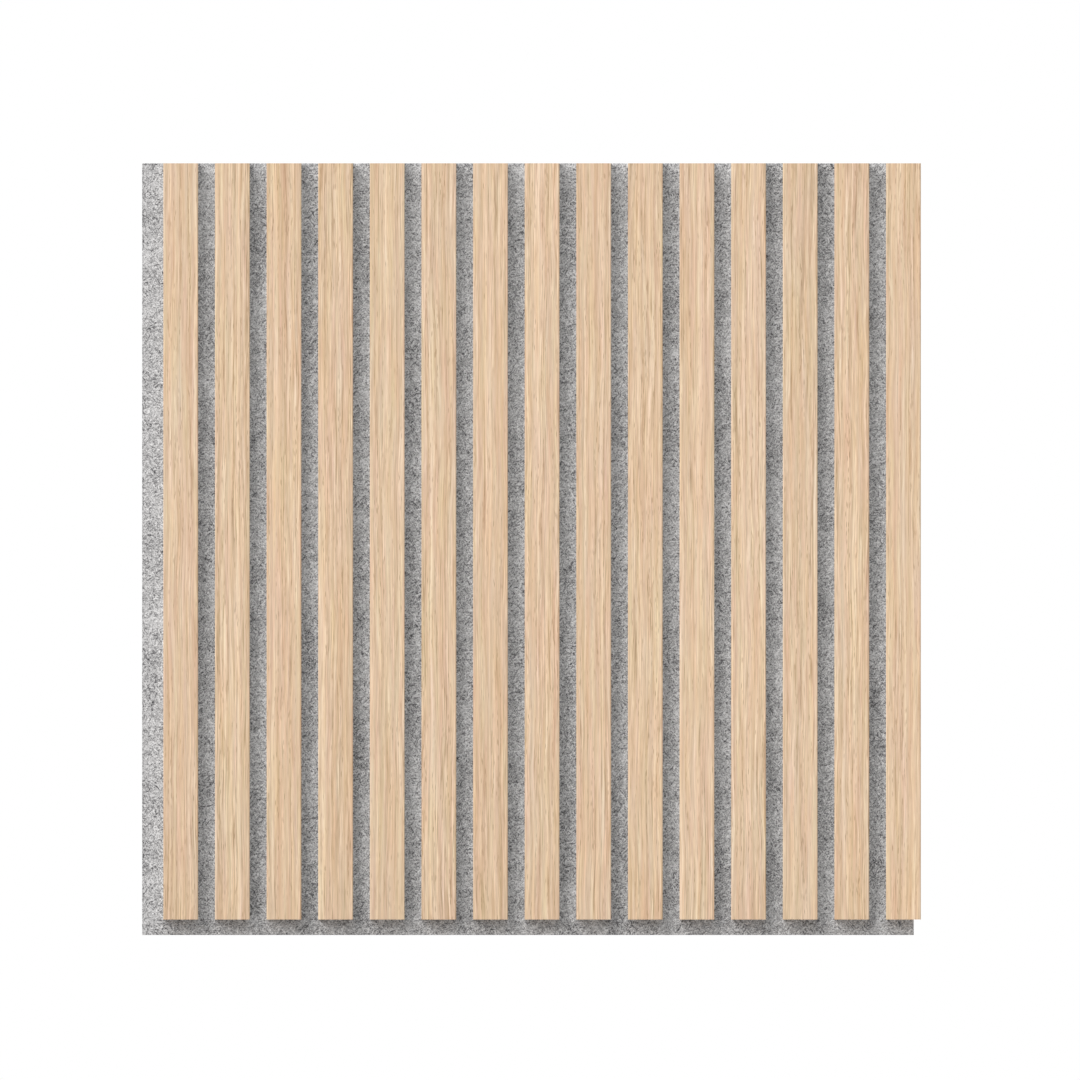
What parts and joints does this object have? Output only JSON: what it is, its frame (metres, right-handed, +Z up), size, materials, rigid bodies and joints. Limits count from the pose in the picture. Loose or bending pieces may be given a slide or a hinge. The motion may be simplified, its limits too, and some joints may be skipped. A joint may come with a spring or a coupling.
{
  "type": "acoustic slat wall panel",
  "caption": "Square panel of upright oak-veneered slats stapled to a grey felt board; fixed flat to a wall, edge to edge with others, to dress it and absorb sound.",
  "frame": {"origin": "centre of the felt's back face, which lies on the wall", "axes": "+Z up along the slats, +X to the right as seen from the room, +Y out of the back into the wall"},
  "size_m": [0.6035, 0.021, 0.598],
  "materials": {
    "oak_veneer": "matt lacquer",
    "mdf_core": "raw sawn board",
    "felt": "pressed polyester felt",
    "steel": "galvanised wire"
  },
  "bodies": {
    "root": {"acoustic_felt": "felt", "slat_01_core": "mdf_core", "slat_01_veneer": "oak_veneer", "slat_02_core": "mdf_core", "slat_02_veneer": "oak_veneer", "slat_03_core": "mdf_core", "slat_03_veneer": "oak_veneer", "slat_04_core": "mdf_core", "slat_04_veneer": "oak_veneer", "slat_05_core": "mdf_core", "slat_05_veneer": "oak_veneer", "slat_06_core": "mdf_core", "slat_06_veneer": "oak_veneer", "slat_07_core": "mdf_core", "slat_07_veneer": "oak_veneer", "slat_08_core": "mdf_core", "slat_08_veneer": "oak_veneer", "slat_09_core": "mdf_core", "slat_09_veneer": "oak_veneer", "slat_10_core": "mdf_core", "slat_10_veneer": "oak_veneer", "slat_11_core": "mdf_core", "slat_11_veneer": "oak_veneer", "slat_12_core": "mdf_core", "slat_12_veneer": "oak_veneer", "slat_13_core": "mdf_core", "slat_13_veneer": "oak_veneer", "slat_14_core": "mdf_core", "slat_14_veneer": "oak_veneer", "slat_15_core": "mdf_core", "slat_15_veneer": "oak_veneer", "staples": "steel"}
  },
  "joints": []
}
